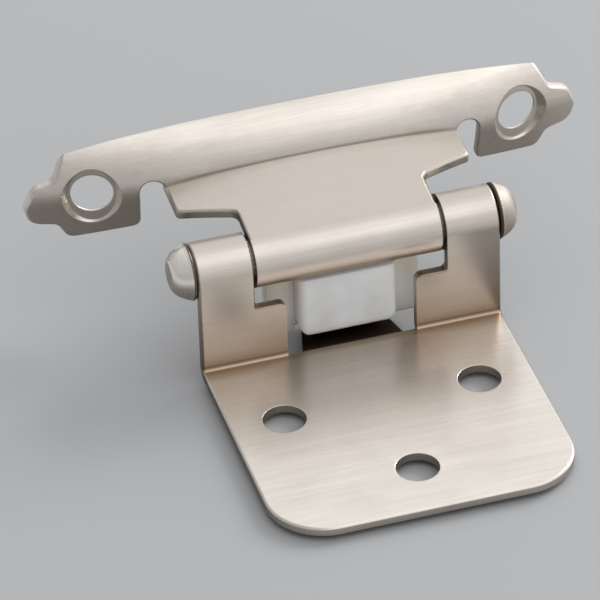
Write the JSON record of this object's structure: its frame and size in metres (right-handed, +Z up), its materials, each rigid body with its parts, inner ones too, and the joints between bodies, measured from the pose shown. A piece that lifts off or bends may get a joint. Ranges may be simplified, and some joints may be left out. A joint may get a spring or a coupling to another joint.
{
  "type": "cabinet hinge",
  "caption": "Face-mount self-closing cabinet hinge: folded door wing, crowned and bowed frame wing with finial ends, cam knuckle, nylon follower and compression springs.",
  "frame": {"origin": "on the fold line between the door wing's plate and legs, mid width, at the underside of the plate", "axes": "+X along the hinge pin to the right as seen from the plate's front, +Y from the plate towards the frame wing, +Z up from the plate"},
  "size_m": [0.0708, 0.0548, 0.0241],
  "materials": {
    "satin_nickel": "satin brushed nickel plate",
    "steel_wire": "bright drawn steel",
    "nylon": "milky white moulded nylon"
  },
  "bodies": {
    "door_side": {"door_wing": "satin_nickel", "hinge_pin": "steel_wire", "right_tip": "satin_nickel", "left_tip": "satin_nickel"},
    "frame_side": {"frame_wing": "satin_nickel"},
    "follower": {"cam_follower": "nylon", "left_spring": "steel_wire", "right_spring": "steel_wire"}
  },
  "joints": [
    {"name": "wing_swing", "type": "hinge", "parent": "door_side", "child": "frame_side", "pos_m": [0, 0.0035, 0.01386], "axis": [1, 0, 0], "range_deg": [-80, 30]},
    {"name": "follower_travel", "type": "slide", "parent": "door_side", "child": "follower", "axis": [0, 0, 1], "range_m": [-0.00014, 0.00036], "deforming": ["left_spring", "right_spring"]}
  ],
  "couplings": [
    {"joint": "follower_travel", "follows": "wing_swing", "m_per_rad": -0.00025}
  ]
}
